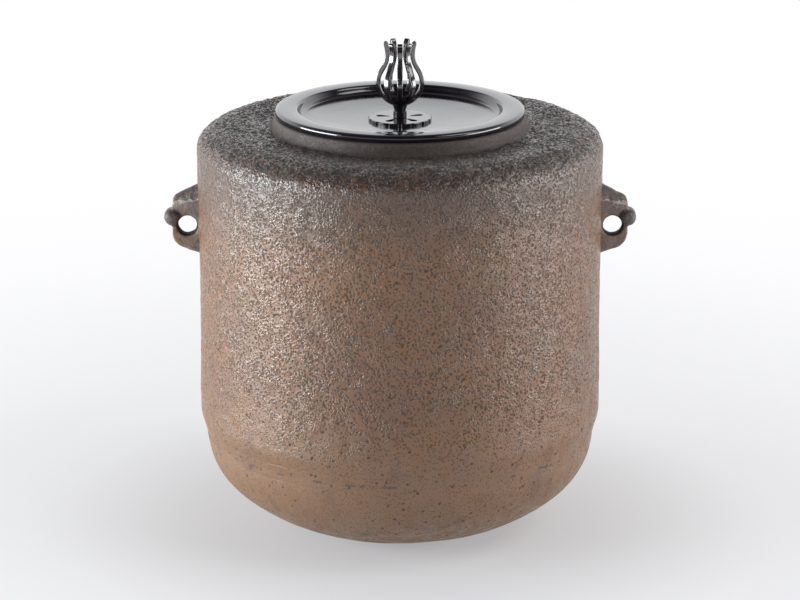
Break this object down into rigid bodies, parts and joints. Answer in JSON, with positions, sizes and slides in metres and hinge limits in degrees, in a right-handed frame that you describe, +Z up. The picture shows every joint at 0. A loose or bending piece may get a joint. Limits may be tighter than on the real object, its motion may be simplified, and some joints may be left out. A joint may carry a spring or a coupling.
{
  "type": "tea kettle",
  "caption": "Tall cylindrical cast iron tea-ceremony water kettle with ring lugs on its sides, a dished lift-off lid and an openwork bud-shaped knob that turns in the lid.",
  "frame": {"origin": "middle of the flat foot, on the surface that the kettle stands on", "axes": "+Z up along the kettle's axis, +X to the right lug, -Y towards the front"},
  "size_m": [0.2466, 0.211, 0.2582],
  "materials": {
    "rust_brown_iron": "rough grained brown rust skin with a slight sheen",
    "dark_iron": "cast skin, darker brown",
    "plate_iron": "dark, rough",
    "black_lacquer": "iron-filled lacquer, dull black",
    "black_bronze": "polished, black patina",
    "knob_bronze": "polished dark bronze",
    "plain_bronze": "dull bronze"
  },
  "bodies": {
    "kettle": {"kettle_body": "rust_brown_iron", "kettle_bottom": "rust_brown_iron", "bottom_seal": "black_lacquer", "left_lug": "dark_iron", "right_lug": "dark_iron", "sounding_plate_1": "plate_iron", "sounding_plate_2": "plate_iron", "sounding_plate_3": "plate_iron", "sounding_plate_4": "plate_iron", "sounding_plate_5": "plate_iron", "lacquer_bed_1": "black_lacquer", "lacquer_bed_2": "black_lacquer", "lacquer_bed_3": "black_lacquer", "lacquer_bed_4": "black_lacquer", "lacquer_bed_5": "black_lacquer"},
    "lid": {"lid_plate": "black_bronze", "knob_seat": "black_bronze", "lid_washer": "plain_bronze"},
    "knob": {"knob_base": "knob_bronze", "knob_rib_1": "knob_bronze", "knob_rib_2": "knob_bronze", "knob_rib_3": "knob_bronze", "knob_rib_4": "knob_bronze", "knob_rib_5": "knob_bronze", "knob_rib_6": "knob_bronze", "knob_rib_7": "knob_bronze"}
  },
  "joints": [
    {"name": "lid_lift", "type": "slide", "parent": "kettle", "child": "lid", "axis": [0, 0, 1], "range_m": [0, 0.12]},
    {"name": "knob_turn", "type": "hinge", "parent": "lid", "child": "knob", "pos_m": [0, 0, 0.22], "axis": [0, 0, 1], "continuous": true}
  ]
}
